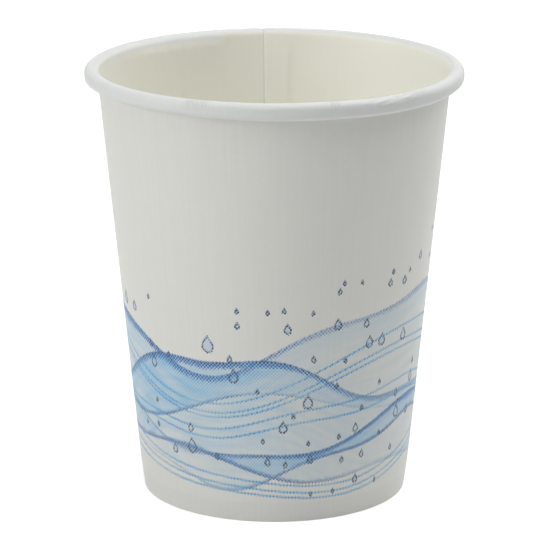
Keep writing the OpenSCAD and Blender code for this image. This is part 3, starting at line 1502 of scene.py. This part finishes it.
    @property
    def printed(self) -> bpy.types.Material:
        """The outside's material."""
        return self._material("printed_board")

    @property
    def coated(self) -> bpy.types.Material:
        """The inside's material."""
        return self._material("coated_board")

    @property
    def cut(self) -> bpy.types.Material:
        """The cut edges' material."""
        return self._material("cut_board")

    def _material(self, name: str) -> bpy.types.Material:
        """A finish by name, built when it is first asked for."""
        made = bpy.data.materials.get(name)
        if made:
            return made
        white = from_screen(232, 232, 226)
        seam_place = (SEAM_ANGLE - 2 * math.pi - FRONT_ANGLE) * self.flat_r
        finishes = {
            "printed_board": PrintedFinish("printed_board", white, tone_range=0.15),
            "coated_board": CoatedFinish(
                "coated_board", from_screen(252, 252, 243), 0.5, 0.09, seam_place=seam_place
            ),
            "cut_board": BlankFinish("cut_board", from_screen(214, 210, 198), 0.85, 0.1, 0.02 * MM),
        }
        return finishes[name].build(self.groups)


@dataclass(frozen=True)
class Bottom:
    """The drawn bottom: a disc of board whose edge is turned down into a skirt inside the foot.

    Attributes:
        sizes: The cup's sizes.
        groups: The shared shader groups.
        foot_press: How far the foot is pressed in at the table, in metres.
        columns: Number of columns round the disc, the doubled last one included.
        disc_steps: Steps from the middle of the disc to its bend.
        bend_steps: Steps round the bend.
        skirt_steps: Steps down the skirt.
        sag: How far the middle hangs below the edge, in metres.
        dent: How uneven the disc is, in metres.
        pleat: Depth of the pleats round the bend, in metres.
        pleats: Number of pleats round the bend.
    """

    sizes: CupSizes
    groups: ShaderGroups
    foot_press: float
    columns: int = 241
    disc_steps: int = 12
    bend_steps: int = 6
    skirt_steps: int = 6
    sag: float = 0.3 * MM
    dent: float = 0.12 * MM
    pleat: float = 0.07 * MM
    pleats: float = 56.0

    def stations(self) -> list[Station]:
        """The section from the middle of the disc, over the bend and down the skirt."""
        cup = self.sizes
        top_z = cup.recess_h + cup.bottom_t
        skirt_out = cup.wall_t + cup.film_t
        bend_z = top_z - cup.bend_r
        centre = (cup.wall_x(bend_z, skirt_out + cup.bend_r), bend_z)
        radii = (cup.bend_r - cup.bottom_t, cup.bend_r)
        edge = bend(centre, radii, (math.pi / 2, -cup.lean), self.bend_steps)
        middle = Station((0.0, cup.recess_h), (0.0, top_z))
        down = (edge[-1].coated[1] - cup.wall_t - cup.film_t) / math.cos(cup.lean)
        end = Station(*(cup.along_wall(point, -down) for point in (edge[-1].printed, edge[-1].coated)))
        disc = stretch(middle, edge[0], self.disc_steps)
        return disc + edge[:-1] + stretch(edge[-1], end, self.skirt_steps) + [end]

    def build(self) -> bpy.types.Object:
        """Makes the piece.

        Returns:
            The finished bottom.
        """
        section = BoardSection("bottom_section", self.stations(), self.disc_steps)
        numbers = {
            "Columns": float(self.columns),
            "Disc radius": self.stations()[self.disc_steps].coated[0],
            "Sag": self.sag,
            "Dent": self.dent,
            "Pleat": self.pleat,
            "Pleats": self.pleats,
            "Foot press": self.foot_press,
            "Hem height": self.sizes.hem_h,
        }
        tree = GeometryTree("Draw the bottom", numbers)
        self._shape(tree)
        piece = tree.run("bottom_disc", section.mesh)
        close_and_turn_out(piece)
        return piece

    def _shape(self, tree: GeometryTree) -> None:
        """Writes the tree that turns the section round the axis, with its sag and its pleats."""
        graph, ends = tree.graph, tree.inputs
        share = graph.value(graph.node("GeometryNodeSplineParameter"), "Factor")
        board = tree.sweep(share, False)
        angle = tree.attribute(tree.AROUND) * (2 * math.pi)
        radius, _, height = graph.parts(tree.attribute(BoardSection.SECTION, "FLOAT_VECTOR"))
        coat_x, _, coat_z = graph.parts(tree.attribute(BoardSection.COAT_WAY, "FLOAT_VECTOR"))
        climb = tree.attribute(BoardSection.CLIMB)
        out = radius / ends["Disc radius"]
        ring = graph.vector(graph.math("COSINE", angle) * out, graph.sine(angle) * out)
        inside = 1.0 - graph.math("MINIMUM", out * out, 1.0)
        uneven = (graph.noise(ring, 1.7, 2.0, Seed.DISC_DENT) - 0.5) * ends["Dent"] * 2.0
        wander = graph.noise(ring, 5.0, 1.0, Seed.PLEAT_WANDER) * 6.0
        folds = graph.sine(angle * ends["Pleats"] + wander)
        depth = graph.smooth(folds, -0.2, 1.0) * ends["Pleat"]
        over_bend = graph.smooth(climb, -1.2 * MM, 0.4 * MM) * (1.0 - graph.smooth(climb, 1 * MM, 1.8 * MM))
        sunk = depth * over_bend
        pressed = (1.0 - graph.math("MINIMUM", height / ends["Hem height"], 1.0)) * ends["Foot press"]
        radius = radius - coat_x * sunk - pressed
        height = height - coat_z * sunk + (uneven - ends["Sag"]) * inside
        board = tree.turned(board, radius, angle, height)
        finish = BoardFinish("bottom_board", from_screen(230, 228, 218)).build(self.groups)
        tree.finish(tree.smoothed(board, SHARP_ANGLE), [(None, finish)])


@dataclass(frozen=True)
class Softbox:
    """A square area lamp that looks at the cup.

    Attributes:
        name: Name of the lamp.
        azimuth: Direction of the lamp round the cup in degrees, 0 towards the camera and 90 to its right.
        elevation: Height of the lamp above level, in degrees.
        distance: Distance from the cup's middle, in metres.
        size: Side of the lamp, in metres.
        power: Power in watts.
    """

    name: str
    azimuth: float
    elevation: float
    distance: float
    size: float
    power: float

    def place(self, aim: Vector) -> None:
        """Puts the lamp in the scene, turned to the aim."""
        light = bpy.data.lights.new(self.name, "AREA")
        light.size = self.size
        light.energy = self.power
        lamp = bpy.data.objects.new(self.name, light)
        bpy.context.scene.collection.objects.link(lamp)
        azimuth, elevation = math.radians(self.azimuth), math.radians(self.elevation)
        level = math.cos(elevation)
        way = Vector((math.sin(azimuth) * level, -math.cos(azimuth) * level, math.sin(elevation)))
        lamp.location = aim + way * self.distance
        lamp.rotation_euler = (-way).to_track_quat("-Z", "Y").to_euler()


@dataclass(frozen=True)
class Studio:
    """A pale floor, a white surround and soft lamps.

    Attributes:
        aim: Where the lamps look.
        floor_side: Side of the floor, in metres.
        floor_glow: How strongly the floor glows where the camera or gloss sees it.
        world_level: Strength of the surround's own light on the scene.
        lamps: The lamps.
    """

    aim: Vector
    floor_side: float = 6.0
    floor_glow: float = 0.5
    world_level: float = 0.0
    lamps: tuple[Softbox, ...] = (
        Softbox("left_low", -67, 18, 1.1, 0.6, 3.7),
        Softbox("left_high", -25, 50, 1.1, 1.2, 3.6),
        Softbox("top", 0, 88, 1.1, 1.5, 5.0),
        Softbox("right_back", 118, 50, 1.1, 1.2, 8.2),
    )

    def build(self) -> None:
        """Makes the floor, the world and the lamps."""
        self._floor()
        self._world()
        for lamp in self.lamps:
            lamp.place(self.aim)

    def _floor(self) -> None:
        """A plain pale floor that glows a little for the camera, so that it reads as white."""
        half = self.floor_side / 2
        mesh = bpy.data.meshes.new("floor")
        corners = [(-half, -half, 0.0), (half, -half, 0.0), (half, half, 0.0), (-half, half, 0.0)]
        mesh.from_pydata(corners, [], [(0, 1, 2, 3)])
        floor = bpy.data.objects.new("floor", mesh)
        bpy.context.scene.collection.objects.link(floor)
        material, graph = new_material("floor_paper")
        rays = graph.node("ShaderNodeLightPath")
        seen = graph.math("MAXIMUM", graph.value(rays, "Is Camera Ray"), graph.value(rays, "Is Glossy Ray"))
        shader = graph.node(
            "ShaderNodeBsdfPrincipled",
            {
                "Base Color": from_screen(236, 236, 236),
                "Roughness": 0.9,
                "Emission Color": (1.0, 1.0, 1.0, 1.0),
                "Emission Strength": seen * self.floor_glow,
            },
        )
        graph.node("ShaderNodeOutputMaterial", {"Surface": shader.outputs["BSDF"]})
        mesh.materials.append(material)

    def _world(self) -> None:
        """White where the camera, gloss or glass sees it, and a plain soft light for the rest."""
        world = bpy.data.worlds.new("surround")
        world.use_nodes = True
        world.node_tree.nodes.clear()
        bpy.context.scene.world = world
        graph = Graph(world.node_tree)
        rays = graph.node("ShaderNodeLightPath")
        seen = graph.math("MAXIMUM", graph.value(rays, "Is Camera Ray"), graph.value(rays, "Is Glossy Ray"))
        seen = graph.math("MAXIMUM", seen, graph.value(rays, "Is Transmission Ray"))
        strength = seen * (1.0 - self.world_level) + self.world_level
        light = graph.node("ShaderNodeBackground", {"Color": (1.0, 1.0, 1.0, 1.0), "Strength": strength})
        graph.node("ShaderNodeOutputWorld", {"Surface": light.outputs["Background"]})


@dataclass(frozen=True)
class Viewpoint:
    """Where the photograph was taken from, for a square picture."""

    elevation: float = math.radians(15.3)
    distance: float = 747.2 * MM
    aim_height: float = 46.0 * MM
    picture_side: float = 550.0
    focal_length: float = 3497.5
    off_centre: Point = (0.64, -0.08)

    def build(self) -> None:
        """Makes the camera and hands it to the scene."""
        data = bpy.data.cameras.new("camera")
        data.sensor_width = 36.0
        data.lens = data.sensor_width * self.focal_length / self.picture_side
        data.shift_x = self.off_centre[0] / self.picture_side
        data.shift_y = self.off_centre[1] / self.picture_side
        camera = bpy.data.objects.new("camera", data)
        bpy.context.scene.collection.objects.link(camera)
        back, rise = math.cos(self.elevation), math.sin(self.elevation)
        camera.location = (0.0, -back * self.distance, self.aim_height + rise * self.distance)
        camera.rotation_euler = (math.pi / 2 - self.elevation, 0.0, 0.0)
        bpy.context.scene.camera = camera


def main() -> None:
    """Builds the cup, the studio and the camera."""
    logging.basicConfig(level=logging.INFO, format="%(name)s: %(message)s")
    bpy.context.scene.view_settings.view_transform = "Standard"
    low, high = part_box("sidewall")
    sizes = CupSizes(rim_d=high[0] - low[0], cup_h=high[2])
    groups = ShaderGroups()

    sidewall = Sidewall(sizes, groups)
    pieces = {"sidewall": sidewall.build(), "bottom": Bottom(sizes, groups, sidewall.foot_press).build()}
    for node, piece in pieces.items():
        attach(piece, "root")
        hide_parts(node)
        LOG.info("%s: %d faces", piece.name, len(piece.data.polygons))

    Studio(Vector((0.0, 0.0, sizes.cup_h / 2))).build()
    Viewpoint().build()


if __name__ == "__main__":
    main()
